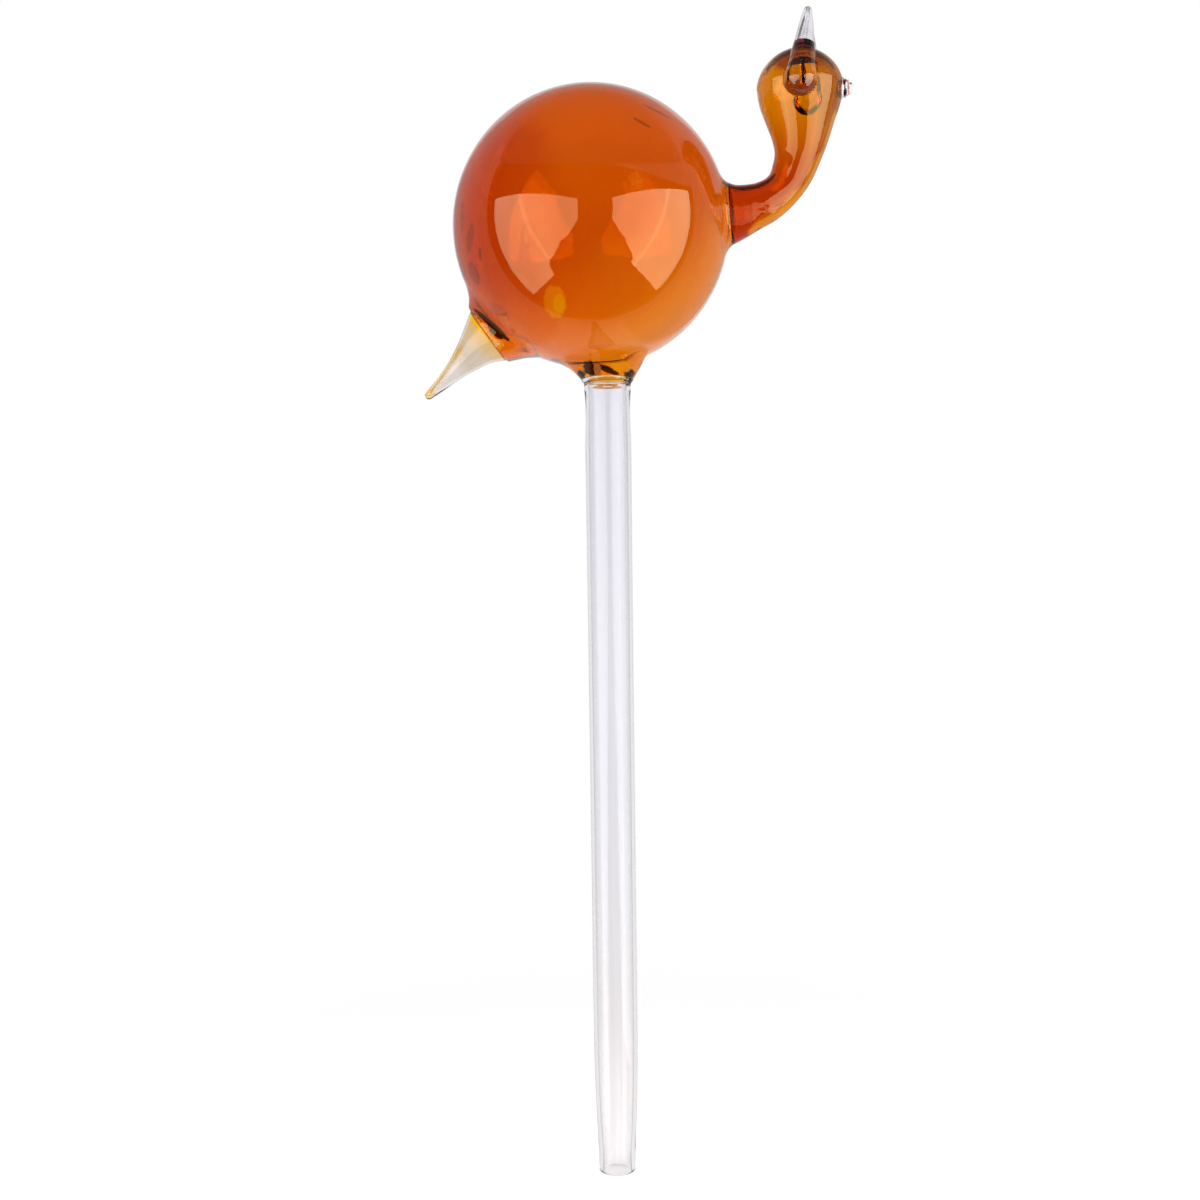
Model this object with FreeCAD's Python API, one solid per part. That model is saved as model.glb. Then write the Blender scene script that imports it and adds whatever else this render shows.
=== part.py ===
import FreeCAD, Part
import math
import os

# A hand-blown glass watering globe in the shape of a snail. The amber globe is the shell and holds the
# water, a clear tube is pushed into the soil, and the neck, head, horns, nose and tail are fused onto the
# glass. Sizes are in millimetres. The snail faces +X and the stem points down along -Z. The origin lies
# on the stem's axis at its shoulder, where the weld ring ends and the plain tube begins.

# Stem: a clear drawn tube with a weld ring on top and a drawn-in mouth below
stem_radius = 5.85
stem_wall = 1.1
stem_length = 202.4
stem_straight_length = 100.0
stem_taper = 0.2
weld_ring_height = 1.3
weld_ring_swell = 0.9
weld_ring_curve_share = 0.28
draw_length = 35.0
draw_bow = 0.22
mouth_draw_in = 1.23
mouth_wall = 1.22
mouth_land_length = 3.0

# Globe: the blown shell, its collar over the stem and the amber stub that carries the tail
globe_radius = 35.55
globe_wall = 1.2
globe_setback = 3.75
collar_height = 3.64
collar_flare = 2.3
collar_wall = 1.6
collar_root_rise = 4.0
collar_root_radius_share = 0.83
collar_waist_height_share = 0.69
collar_waist_lean_share = 0.22
collar_root_lean_share = 0.43

# Tail: a pale hollow cone, drawn out to a closed point
tail_root_radius = 7.96
tail_wall = 0.95
tail_length = 23.6
tail_tip_radius = 1.05
tail_stub_length = 2.41
tail_stub_flare = 4.6
tail_stub_root_depth = 5.0
tail_stub_middle_flare_share = 0.33
tail_seat_angle = 44.4
tail_seam_angle = 34.3
tail_run_angle = 43.2

# Places along the tail and the radius there, as shares of its length and of its root radius
tail_girth_shares = [
    (0.188, 0.686),
    (0.368, 0.490),
    (0.598, 0.293),
    (0.831, 0.191),
]

# Neck and head: one hollow bent tube, blown out to a round bulb at its end
neck_foot_radius = 8.5
neck_radius = 4.84
neck_wall = 1.25
neck_reach = 19.3
neck_rise = 31.0
neck_seat_angle = 3.0
neck_root_flare = 2.1
neck_root_depth = 3.2
head_radius = 10.87

# Neck path from its seat to below the head: reach, rise and girth shares, and the tube's slope in degrees
neck_path_shares = [
    (0.228, 0.022, 1.366, 12.0),
    (0.394, 0.052, 1.190, 16.0),
    (0.550, 0.089, 1.091, 26.0),
    (0.774, 0.196, 1.000, 49.0),
    (0.887, 0.311, 1.099, 67.0),
    (0.961, 0.443, 1.223, 78.0),
    (0.996, 0.573, 1.463, 87.0),
]

# How the bulb grows out of the neck: shares of the neck's rise and of the head's radius
head_swell_shares = [
    (0.719, 0.791),
    (0.872, 0.940),
]

# Horns: two solid clear drops, fused to the sides of the head and drawn up to blunt tips
horn_base_radius = 4.3
horn_base_sink = 0.8
horn_base_lift = 0.3
horn_length = 20.9
horn_tip_radius = 0.9
horn_lean_angle = 6.4
horn_toe_in_angle = 20.3
horn_skew_forward = 0.8
horn_skew_up = 0.65

# Places along a horn and the radius there, as shares of its length and of its base radius
horn_girth_shares = [
    (0.16, 0.80),
    (0.38, 0.575),
    (0.66, 0.372),
    (0.85, 0.275),
]

# Nose: a clear solid bead on the front of the head
nose_radius = 2.45
nose_length = 2.5
nose_tip_radius = 1.1
nose_sink = 1.2
nose_drop_angle = 3.5


def vec(x, y, z):
    return FreeCAD.Vector(x, y, z)


def heading(degrees):
    """Unit vector in the snail's upright plane: 0 points forwards, 90 points up."""
    turn = math.radians(degrees)
    return vec(math.cos(turn), 0, math.sin(turn))


def ring(centre, along, radius):
    """Round wire about a centre, square to a direction in the snail's upright plane."""
    sideways = vec(0, 1, 0)
    turn = FreeCAD.Rotation(sideways, along.cross(sideways), along, "ZXY")
    edge = Part.makeCircle(radius)
    edge.Placement = FreeCAD.Placement(centre, turn)
    return Part.Wire([edge])


def loft(rings):
    return Part.makeLoft(rings, True, False)


def turned(outline):
    """Solid of revolution about the Z axis from edges that close in the XZ plane."""
    face = Part.Face(Part.Wire(Part.__sortEdges__(outline)))
    return face.revolve(vec(0, 0, 0), vec(0, 0, 1), math.degrees(2 * math.pi))


def dome(centre, along, radius):
    """Half ball whose flat side faces back along the direction."""
    return Part.makeSphere(radius, centre, along, 0, 90, 360)


def line(start, end):
    return Part.LineSegment(start, end).toShape()


def arc(start, middle, end):
    return Part.Arc(start, middle, end).toShape()


def curve(points, tangent_start, tangent_end):
    spline = Part.BSplineCurve()
    spline.interpolate(Points=points, InitialTangent=tangent_start, FinalTangent=tangent_end)
    return spline.toShape()


# Places that follow from the driving sizes
stem_bore = stem_radius - stem_wall
ring_radius = stem_radius + weld_ring_swell
globe_bottom = weld_ring_height + collar_height
globe_centre = vec(-globe_setback, 0, globe_bottom + globe_radius)
tail_seat_heading = heading(180 + tail_seat_angle)
tail_seam_heading = heading(180 + tail_seam_angle)
tail_run_heading = heading(180 + tail_run_angle)
tail_seam_centre = globe_centre + tail_seat_heading * (globe_radius + tail_stub_length)
neck_seat_heading = heading(neck_seat_angle)
neck_seat = globe_centre + neck_seat_heading * math.sqrt(globe_radius ** 2 - neck_foot_radius ** 2)
head_centre = neck_seat + vec(neck_reach, 0, neck_rise)


def make_stem():
    """Clear tube: weld ring, straight length, slight taper, drawn-in end and fire-polished mouth."""
    draw_start = -(stem_length - draw_length)
    draw_radius = stem_radius - stem_taper
    draw_bore = draw_radius - stem_wall
    mouth_radius = stem_radius - mouth_draw_in
    mouth_bore = mouth_radius - mouth_wall
    rim_roundness = mouth_wall / 2
    rim_top = -(stem_length - rim_roundness)

    ring_top = vec(ring_radius, 0, weld_ring_height)
    ring_waist = vec(stem_radius + weld_ring_swell * weld_ring_curve_share, 0, weld_ring_height / 2)
    shoulder = vec(stem_radius, 0, 0)
    straight_end = vec(stem_radius, 0, -stem_straight_length)
    draw_outer = vec(draw_radius, 0, draw_start)
    draw_middle = vec((draw_radius + mouth_radius) / 2 + draw_bow, 0, (draw_start + rim_top) / 2)
    rim_outer = vec(mouth_radius, 0, rim_top)
    rim_bottom = vec(mouth_radius - rim_roundness, 0, -stem_length)
    rim_inner = vec(mouth_bore, 0, rim_top)
    land_top = vec(mouth_bore, 0, rim_top + mouth_land_length)
    draw_inner = vec(draw_bore, 0, draw_start)
    bore_start = vec(stem_bore, 0, -stem_straight_length)
    bore_top = vec(stem_bore, 0, weld_ring_height)

    return turned([
        arc(ring_top, ring_waist, shoulder),
        line(shoulder, straight_end),
        line(straight_end, draw_outer),
        arc(draw_outer, draw_middle, rim_outer),
        arc(rim_outer, rim_bottom, rim_inner),
        line(rim_inner, land_top),
        line(land_top, draw_inner),
        line(draw_inner, bore_start),
        line(bore_start, bore_top),
        line(bore_top, ring_top),
    ])


def collar_space(foot_radius, thinning):
    """Funnel from the weld ring up into the globe, with its upper rings smaller by the thinning."""
    upwards = vec(0, 0, 1)
    waist_height = weld_ring_height + collar_height * collar_waist_height_share
    root_height = globe_bottom + collar_root_rise
    root_section = math.sqrt(globe_radius ** 2 - (globe_radius - collar_root_rise) ** 2)
    foot = ring(vec(0, 0, weld_ring_height), upwards, foot_radius)
    waist_centre = vec(-globe_setback * collar_waist_lean_share, 0, waist_height)
    waist = ring(waist_centre, upwards, ring_radius + collar_flare - thinning)
    root_centre = vec(-globe_setback * collar_root_lean_share, 0, root_height)
    root = ring(root_centre, upwards, root_section * collar_root_radius_share - thinning)
    return loft([foot, waist, root])


def stub_space(thinning):
    """Short amber cone from inside the globe to the tail's seam."""
    root_radius = tail_root_radius + tail_stub_flare - thinning
    root_centre = globe_centre + tail_seat_heading * (globe_radius - tail_stub_root_depth)
    middle_centre = globe_centre + tail_seat_heading * globe_radius
    middle_radius = tail_root_radius + tail_stub_flare * tail_stub_middle_flare_share - thinning
    return loft([
        ring(root_centre, tail_seat_heading, root_radius),
        ring(middle_centre, tail_seat_heading, middle_radius),
        ring(tail_seam_centre, tail_seam_heading, tail_root_radius - thinning),
    ])


def neck_tube(thinning):
    """Bent tube from inside the globe up to the middle of the head, smaller all round by the thinning."""
    upwards = heading(90)
    root_centre = neck_seat - neck_seat_heading * neck_root_depth
    rings = [
        ring(root_centre, neck_seat_heading, neck_foot_radius + neck_root_flare - thinning),
        ring(neck_seat, neck_seat_heading, neck_foot_radius - thinning),
    ]
    for reach_share, rise_share, girth_share, slope in neck_path_shares:
        centre = neck_seat + vec(neck_reach * reach_share, 0, neck_rise * rise_share)
        rings.append(ring(centre, heading(slope), neck_radius * girth_share - thinning))
    for rise_share, girth_share in head_swell_shares:
        centre = neck_seat + vec(neck_reach, 0, neck_rise * rise_share)
        rings.append(ring(centre, upwards, head_radius * girth_share - thinning))
    rings.append(ring(head_centre, upwards, head_radius - thinning))
    return loft(rings)


def neck_space(thinning):
    """The neck's bent tube closed by the round crown of the head."""
    return neck_tube(thinning).fuse(dome(head_centre, heading(90), head_radius - thinning))


def make_globe():
    """Amber shell with its collar and tail stub, open to the stem, the neck and the tail."""
    sideways = vec(0, 1, 0)
    outside = Part.makeSphere(globe_radius, globe_centre, sideways)
    outside = outside.fuse([collar_space(ring_radius, 0), stub_space(0)])
    inside = Part.makeSphere(globe_radius - globe_wall, globe_centre, sideways)
    hollows = [collar_space(stem_bore, collar_wall), stub_space(tail_wall), neck_tube(neck_wall)]
    return outside.cut([inside] + hollows)


def make_neck_and_head():
    """Amber tube and bulb whose flared foot sits on the globe's outer surface."""
    seat = Part.makeSphere(globe_radius, globe_centre, vec(0, 1, 0))
    return neck_space(0).cut([neck_space(neck_wall), seat])


def tail_rings(root_radius):
    """Rings of the drawn cone. The glass thins as it is drawn, so its hollow narrows in the same way."""
    rings = [ring(tail_seam_centre, tail_seam_heading, root_radius)]
    for length_share, girth_share in tail_girth_shares:
        centre = tail_seam_centre + tail_run_heading * (tail_length * length_share)
        rings.append(ring(centre, tail_run_heading, root_radius * girth_share))
    return rings


def make_tail():
    """Pale cone from its seam on the amber stub to a closed rounded point."""
    tip_centre = tail_seam_centre + tail_run_heading * (tail_length - tail_tip_radius)
    outside_rings = tail_rings(tail_root_radius) + [ring(tip_centre, tail_run_heading, tail_tip_radius)]
    hollow = loft(tail_rings(tail_root_radius - tail_wall))
    return loft(outside_rings).fuse(dome(tip_centre, tail_run_heading, tail_tip_radius)).cut(hollow)


def horn_drop():
    """Upright teardrop about the Z axis, with the centre of its round base at the origin."""
    bottom = vec(0, 0, -horn_base_radius)
    side = vec(horn_base_radius, 0, 0)
    lower = vec(horn_base_radius / math.sqrt(2), 0, -horn_base_radius / math.sqrt(2))
    tip_centre_height = horn_length - horn_tip_radius
    tip_side = vec(horn_tip_radius, 0, tip_centre_height)
    tip_middle = vec(horn_tip_radius / math.sqrt(2), 0, tip_centre_height + horn_tip_radius / math.sqrt(2))
    tip_top = vec(0, 0, horn_length)
    flank = [side]
    for length_share, girth_share in horn_girth_shares:
        flank.append(vec(horn_base_radius * girth_share, 0, horn_length * length_share))
    flank.append(tip_side)
    return turned([
        arc(bottom, lower, side),
        curve(flank, vec(0, 0, 1), vec(0, 0, 1)),
        arc(tip_side, tip_middle, tip_top),
        line(tip_top, bottom),
    ])


def make_horn(side):
    """Horn on one side of the head: +1 is the left horn, -1 the right. The pair is set a little askew."""
    forward = horn_skew_forward * side
    lift = horn_base_lift + horn_skew_up * side
    base = head_centre + vec(forward, side * (head_radius - horn_base_sink), lift)
    lean = math.tan(math.radians(horn_lean_angle))
    toe_in = math.tan(math.radians(horn_toe_in_angle))
    direction = vec(lean, -side * toe_in, 1)
    drop = horn_drop()
    drop.Placement = FreeCAD.Placement(base, FreeCAD.Rotation(vec(0, 0, 1), direction))
    return drop.cut(neck_space(0))


def make_nose():
    """Clear bead on the head's front, rounded at its tip."""
    root = head_radius - nose_sink
    tip_centre = head_radius + nose_length - nose_tip_radius
    tip_end = head_radius + nose_length
    tip_side = vec(nose_tip_radius, 0, tip_centre)
    tip_slant = nose_tip_radius / math.sqrt(2)
    bead = turned([
        line(vec(0, 0, root), vec(nose_radius, 0, root)),
        line(vec(nose_radius, 0, root), vec(nose_radius, 0, head_radius)),
        line(vec(nose_radius, 0, head_radius), tip_side),
        arc(tip_side, vec(tip_slant, 0, tip_centre + tip_slant), vec(0, 0, tip_end)),
        line(vec(0, 0, tip_end), vec(0, 0, root)),
    ])
    bead.Placement = FreeCAD.Placement(head_centre, FreeCAD.Rotation(vec(0, 0, 1), heading(-nose_drop_angle)))
    return bead.cut(neck_space(0))


pieces = {
    "globe": make_globe(),
    "neck_and_head": make_neck_and_head(),
    "left_horn": make_horn(1),
    "right_horn": make_horn(-1),
    "nose_bead": make_nose(),
    "tail": make_tail(),
    "stem": make_stem(),
}

os.makedirs("parts", exist_ok=True)
for name, shape in pieces.items():
    box = shape.BoundBox
    print(name, "solids", len(shape.Solids), "valid", shape.isValid(), "volume %.1f" % shape.Volume,
          "x %.2f %.2f" % (box.XMin, box.XMax), "y %.2f %.2f" % (box.YMin, box.YMax),
          "z %.2f %.2f" % (box.ZMin, box.ZMax))
    shape.exportStep("parts/" + name + ".step")
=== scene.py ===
import math

import bmesh
import bpy
import numpy as np
from mathutils import Matrix
from mathutils.bvhtree import BVHTree


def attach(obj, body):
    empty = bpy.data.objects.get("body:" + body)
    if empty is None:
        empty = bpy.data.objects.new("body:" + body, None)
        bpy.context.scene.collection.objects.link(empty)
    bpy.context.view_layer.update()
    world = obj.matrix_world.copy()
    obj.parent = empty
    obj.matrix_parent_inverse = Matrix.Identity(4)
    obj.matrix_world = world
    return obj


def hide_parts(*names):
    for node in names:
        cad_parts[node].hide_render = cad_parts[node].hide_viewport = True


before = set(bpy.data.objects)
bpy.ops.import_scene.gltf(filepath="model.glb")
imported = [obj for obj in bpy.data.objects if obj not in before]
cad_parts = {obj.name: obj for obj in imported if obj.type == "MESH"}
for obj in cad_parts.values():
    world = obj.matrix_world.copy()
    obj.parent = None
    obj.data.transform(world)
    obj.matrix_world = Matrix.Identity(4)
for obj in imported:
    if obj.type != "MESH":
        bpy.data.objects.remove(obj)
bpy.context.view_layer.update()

# A hand-blown glass watering globe in the shape of a snail, on a white ground. Sizes are in
# millimetres, as in the part's source, and piece() turns them into metres when a mesh is made.
# The snail faces +X, the stem points down, and the camera stands on the -Y side.

MM = 0.001

# Hair's breadth left between fused pieces, and how near a face lies to what it is fused onto or cut by
seam_gap = 0.02
contact_reach = 0.05
cut_reach = 0.01

# Edges of the cut drops sharper than this, in degrees, are shaded sharp
sharp_edge = 25.0

# Stem
stem_length = 202.395
weld_ring_height = 1.3
weld_ring_radius = 6.75
weld_bore = 4.75
mouth_wall = 1.22
mouth_land_length = 3.0
mouth_land_bore = 3.42
mouth_bore = 3.4
stem_turns = 96
stem_rows = 110
mouth_rows = 15

# The shoulder under the weld ring has rows of its own, down to this depth
shoulder_depth = 3.0
shoulder_rows = 24

# Outer radius of the stem at heights, and radius of its bore
stem_girths = [
    (0.9, 6.62), (0.5, 6.28), (-1.4, 6.03), (-17.0, 5.95), (-43.0, 5.85),
    (-100.0, 5.74), (-159.0, 5.66), (-172.0, 5.62), (-184.5, 5.35), (-195.0, 4.86),
]
stem_bores = [(-1.5, 4.78), (-100.0, 4.66), (-160.0, 4.55), (-172.0, 4.48), (-184.5, 4.18), (-195.0, 3.66)]
mouth_radius = 4.62

# Globe
globe_radius = 35.55
globe_wall = 1.2
globe_centre = np.array([-3.75, 0.0, 40.49])
globe_waviness = 0.05
globe_wave_length = 31.0
hollow_wave_share = 0.8
globe_net_step = 0.62

# Room for the globe's net: all round, past the boss's end, and the height that it starts at
net_margin = 3.0
net_boss_margin = 4.0
net_bottom = -2.5

# The shell thins towards its crown, by this share of its wall between these heights
crown_thinning_share = 0.55
crown_thinning_from = 50.0
crown_thinning_to = 72.0

# Collar: height, its centre's X and its outer radius there
collar_shape = [
    (0.0, 0.1, 5.9), (1.3, 0.0, 6.75), (3.81, -0.45, 8.67),
    (6.0, -1.35, 10.75), (8.94, -2.2, 13.0),
]
collar_ends = (0.1, 9.5)
collar_wall = 1.6
collar_foot_bore = 4.6
collar_blend = 1.0
throat_blend = 1.5

# Keeps the slope of a round cone's field near 1 on its slanting sides
cone_slope_share = 0.85

# Tail and the amber stub that carries it
tail_seat_heading = 224.4
tail_seam_heading = 214.3
tail_run_heading = 223.2
tail_stub_length = 2.41
tail_root_radius = 7.96
tail_wall = 0.95
tail_thickening = 6.0
tail_length = 23.33
tail_bend_share = 0.188
tail_bore_share = 0.95
stub_ends = (-5.0, 4.6)
stub_girths = [(-5.0, 12.56), (0.0, 9.48), (2.41, 8.0), (5.0, 6.6)]
stub_blend = 2.4
tail_turns = 240
tail_rows = 160

# Web of glass under the stub: its two ends, its radius and how flat it is sideways
web_start = np.array([-31.0, 0.0, 8.5])
web_end = np.array([-20.6, 0.0, 10.1])
web_radius = 1.75
web_flatness = 0.3
web_blend = 2.0

# Tail radius and sideways drift, towards its upper side, at shares of its length
tail_shape = [
    (0.0, 7.96, 0.0), (tail_bend_share, 5.46, 0.0), (0.368, 3.9, 0.05),
    (0.598, 2.4, 0.1), (0.831, 1.52, 0.0), (0.955, 1.08, -0.2),
]

# Neck and head
neck_seat_heading = 3.0
neck_foot_radius = 8.5
neck_boss_length = 1.5
neck_wall = 1.25
neck_reach = 19.3
neck_rise = 31.0
head_radius = 10.87
crown_height = 9.83
crown_roundness = 1.85
crown_rows = 31
boss_ends = (-3.2, 2.6)
boss_girths = [(-3.2, 10.6), (0.0, 8.5), (1.5, 7.72), (3.2, 7.0)]
boss_blend = 1.6

# The neck's root mirrors less: how far forwards each step reaches, and its share of the mirroring
neck_mirroring = [(36.0, 0.12), (38.0, 0.25), (40.0, 0.45), (42.0, 0.7)]
neck_turns = 216
neck_rows = 150

# Neck path: forwards and upwards from the seat, radius and slope in degrees
neck_shape = [
    (4.4, 0.68, 6.61, 12.0), (7.6, 1.61, 5.76, 16.0), (10.6, 2.76, 5.28, 26.0),
    (14.94, 6.08, 4.84, 49.0), (17.12, 9.64, 5.32, 67.0), (18.55, 13.73, 5.92, 78.0),
    (19.22, 17.76, 7.08, 87.0), (19.3, 22.29, 8.6, 90.0), (19.3, 27.03, 10.22, 90.0),
]

# Horns and nose
horn_base_radius = 4.3
horn_base_sink = 0.8
horn_tip_radius = 1.1
horn_toe_in_angle = 20.3

# Each horn's base forwards of the head's centre and above it, its lean in degrees and its length
right_horn_set = (0.1, -1.25, 6.1, 21.9)
left_horn_set = (2.4, 0.5, -1.9, 20.7)
horn_girths = [(0.0, 4.3), (3.34, 3.7), (7.94, 3.00), (13.0, 2.28), (16.1, 1.88), (19.1, 1.42)]
horn_turns = 64
horn_rows = 50
horn_base_rows = 20
nose_drop_angle = 3.5

# Nose bead with its ridges: distance from the head's centre, and radius
nose_shape = [
    (9.3, 2.4), (10.85, 2.5), (11.15, 2.26), (11.45, 2.34),
    (11.75, 1.98), (12.05, 2.04), (12.35, 1.62), (12.75, 1.42),
]
nose_length = 13.33
nose_turns = 48
nose_rows = 40

# Material slots after the outer skin's, in the amber pieces and then in the others
inside_slot = 1
fused_slot = 2
covered_slot = 3
root_slot = 4
fused_end_slot = 1


def heading(degrees):
    """Unit vector in the snail's upright plane: 0 points forwards, 90 points up."""
    turn = math.radians(degrees)
    return np.array([math.cos(turn), 0.0, math.sin(turn)])


def smooth(at, stations, values):
    """Value at a place on the smooth curve through (station, value) pairs, held level past its ends."""
    stations = np.asarray(stations, float)
    values = np.asarray(values, float)
    slopes = np.gradient(values, stations)
    i = np.clip(np.searchsorted(stations, at) - 1, 0, len(stations) - 2)
    width = stations[i + 1] - stations[i]
    t = np.clip((at - stations[i]) / width, 0, 1)
    start = (1 + 2 * t) * (1 - t) ** 2 * values[i] + t * (1 - t) ** 2 * width * slopes[i]
    end = t * t * (3 - 2 * t) * values[i + 1] + t * t * (t - 1) * width * slopes[i + 1]
    return start + end


def turns_between(start, end, count):
    """Turns in radians between a start and an end in degrees, without those two."""
    return np.radians(np.linspace(start, end, count)[1:-1])


# Places that follow from the sizes
stub_heading = heading(tail_seat_heading)
seam_heading = heading(tail_seam_heading)
tail_heading = heading(tail_run_heading)
tail_seam = globe_centre + stub_heading * (globe_radius + tail_stub_length)
seat_heading = heading(neck_seat_heading)
neck_seat = globe_centre + seat_heading * math.sqrt(globe_radius ** 2 - neck_foot_radius ** 2)
boss_end = neck_seat + seat_heading * neck_boss_length
head_centre = neck_seat + np.array([neck_reach, 0.0, neck_rise])


# Mesh makers

def piece(name, points, faces, flat=()):
    """Mesh object from points in millimetres. Faces are shaded smooth, apart from the flat ones."""
    mesh = bpy.data.meshes.new(name)
    mesh.from_pydata((np.asarray(points) * MM).tolist(), [], [list(map(int, f)) for f in faces])
    mesh.polygons.foreach_set("use_smooth", [i not in flat for i in range(len(faces))])
    mesh.update()
    return in_scene(name, mesh)


def in_scene(name, data):
    """New object in the scene."""
    thing = bpy.data.objects.new(name, data)
    bpy.context.scene.collection.objects.link(thing)
    return thing


def ring_points(centre, along, radius, turns):
    """Points of a ring about a centre, square to a direction in the snail's upright plane."""
    sideways = np.array([0.0, 1.0, 0.0])
    upwards = np.cross(sideways, along)
    angle = np.arange(turns) * (2 * math.pi / turns)
    return centre + radius * (np.outer(np.cos(angle), upwards) + np.outer(np.sin(angle), sideways))


def skin_through(rings, turns, closed=False):
    """Points, faces and flat face numbers of a skin through rings, in which a ring with no radius is one
    point. A closed skin has a flat strip from its last ring to its first."""
    points, rows = [], []
    for centre, along, radius in rings:
        first = len(points)
        if radius == 0:
            points.append(centre)
            rows.append([first] * turns)
        else:
            points.extend(ring_points(centre, along, radius, turns))
            rows.append(list(range(first, first + turns)))
    faces, flat = [], set()
    pairs = list(zip(rows, rows[1:])) + ([(rows[-1], rows[0])] if closed else [])
    for number, (low, high) in enumerate(pairs):
        for j in range(turns):
            k = (j + 1) % turns
            corners = list(dict.fromkeys([low[j], low[k], high[k], high[j]]))
            if len(corners) > 2:
                if number == len(rows) - 1:
                    flat.add(len(faces))
                faces.append(corners)
    return points, faces, flat


def straight_rings(base, along, girths, stations):
    """Rings at stations along a straight line, whose radius follows a table of girths."""
    return [(base + along * s, along, float(smooth(s, *zip(*girths)))) for s in stations]


def slope_of(field, points, reach=0.02):
    """Gradient of a field at points, by differences."""
    parts = []
    for axis in range(3):
        step = np.zeros(3)
        step[axis] = reach
        parts.append((field(points + step) - field(points - step)) / (2 * reach))
    return np.stack(parts, -1)


def settle(field, points, rounds=4):
    """Moves points onto the surface where the field is zero."""
    for _ in range(rounds):
        slope = slope_of(field, points)
        length = np.maximum((slope ** 2).sum(-1), 0.05)
        points = points - slope * (field(points) / length)[:, None]
    return points


def net_over(field, low, high, step, rounds=6):
    """Even quad mesh of the surface where the field is zero, with its faces turned outwards."""
    axes = [np.arange(low[i], high[i] + step, step) for i in range(3)]
    grid = np.stack(np.meshgrid(*axes, indexing="ij"), -1)
    inside = field(grid) < 0
    span = [n - 1 for n in inside.shape]
    count = np.zeros(span, int)
    for i, j, k in np.ndindex(2, 2, 2):
        count += inside[i:i + span[0], j:j + span[1], k:k + span[2]]
    crossed = (count > 0) & (count < 8)
    number = np.full(span, -1)
    number[crossed] = np.arange(crossed.sum())
    points = grid[:-1, :-1, :-1][crossed] + step / 2
    unit = np.eye(3, dtype=int)
    quads = []
    for axis in range(3):
        near = np.take(inside, range(span[axis]), axis)
        far = np.take(inside, range(1, span[axis] + 1), axis)
        edges = np.argwhere(near != far)
        one, two = unit[(axis + 1) % 3], unit[(axis + 2) % 3]
        corners = [edges, edges - one, edges - one - two, edges - two]
        quad = np.stack([number[tuple(c.T)] for c in corners], 1)
        turned_in = ~near[tuple(edges.T)]
        quad[turned_in] = quad[turned_in][:, ::-1]
        quads.append(quad)
    quads = np.concatenate(quads)
    points = settle(field, points)
    ends = np.concatenate([quads[:, [i, (i + 1) % 4]] for i in range(4)])
    for _ in range(rounds):
        total, number_near = np.zeros_like(points), np.zeros(len(points))
        for a, b in ((0, 1), (1, 0)):
            np.add.at(total, ends[:, a], points[ends[:, b]])
            np.add.at(number_near, ends[:, a], 1)
        points = settle(field, (points + total / number_near[:, None]) / 2, 2)
    return points, quads


def blended(one, two, width):
    """Union of two fields with a fillet of about that width."""
    share = np.maximum(width - np.abs(one - two), 0) / width
    return np.minimum(one, two) - share ** 2 * width / 4


def cone_field(distance, along, stations, radii, ends):
    """Field of a round cone whose radius follows a smooth curve, cut square at both ends."""
    side = (distance - smooth(along, stations, radii)) * cone_slope_share
    return np.maximum(side, np.maximum(ends[0] - along, along - ends[1]))


def seated_cone(p, seat, along, girths, wall, ends):
    """Field of a round cone that stands on a seat, smaller all round by a wall."""
    from_seat = p - seat
    height = from_seat @ along
    off_axis = np.linalg.norm(from_seat - height[..., None] * along, axis=-1)
    stations, radii = zip(*girths)
    return cone_field(off_axis, height, stations, np.subtract(radii, wall), ends)


def web_field(p):
    """Field of the flat web that runs from under the tail stub to the shell's underside."""
    run = web_end - web_start
    share = np.clip((p - web_start) @ run / (run @ run), 0, 1)
    away = p - web_start - share[..., None] * run
    return np.hypot(np.hypot(away[..., 0], away[..., 2]), away[..., 1] * web_flatness) - web_radius


def waves(p, length):
    """Gentle even waviness between 0 and 1, the same each time."""
    k = 2 * math.pi / length
    x, y, z = p[..., 0], p[..., 1], p[..., 2]
    total = (np.sin(k * (0.8 * x + 0.5 * z) + 0.7) + np.sin(k * (0.9 * y - 0.6 * x) + 2.1)
             + np.sin(k * (0.7 * z + 0.6 * y) + 4.0))
    return 0.5 + total / 6


# Glass pieces

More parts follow.
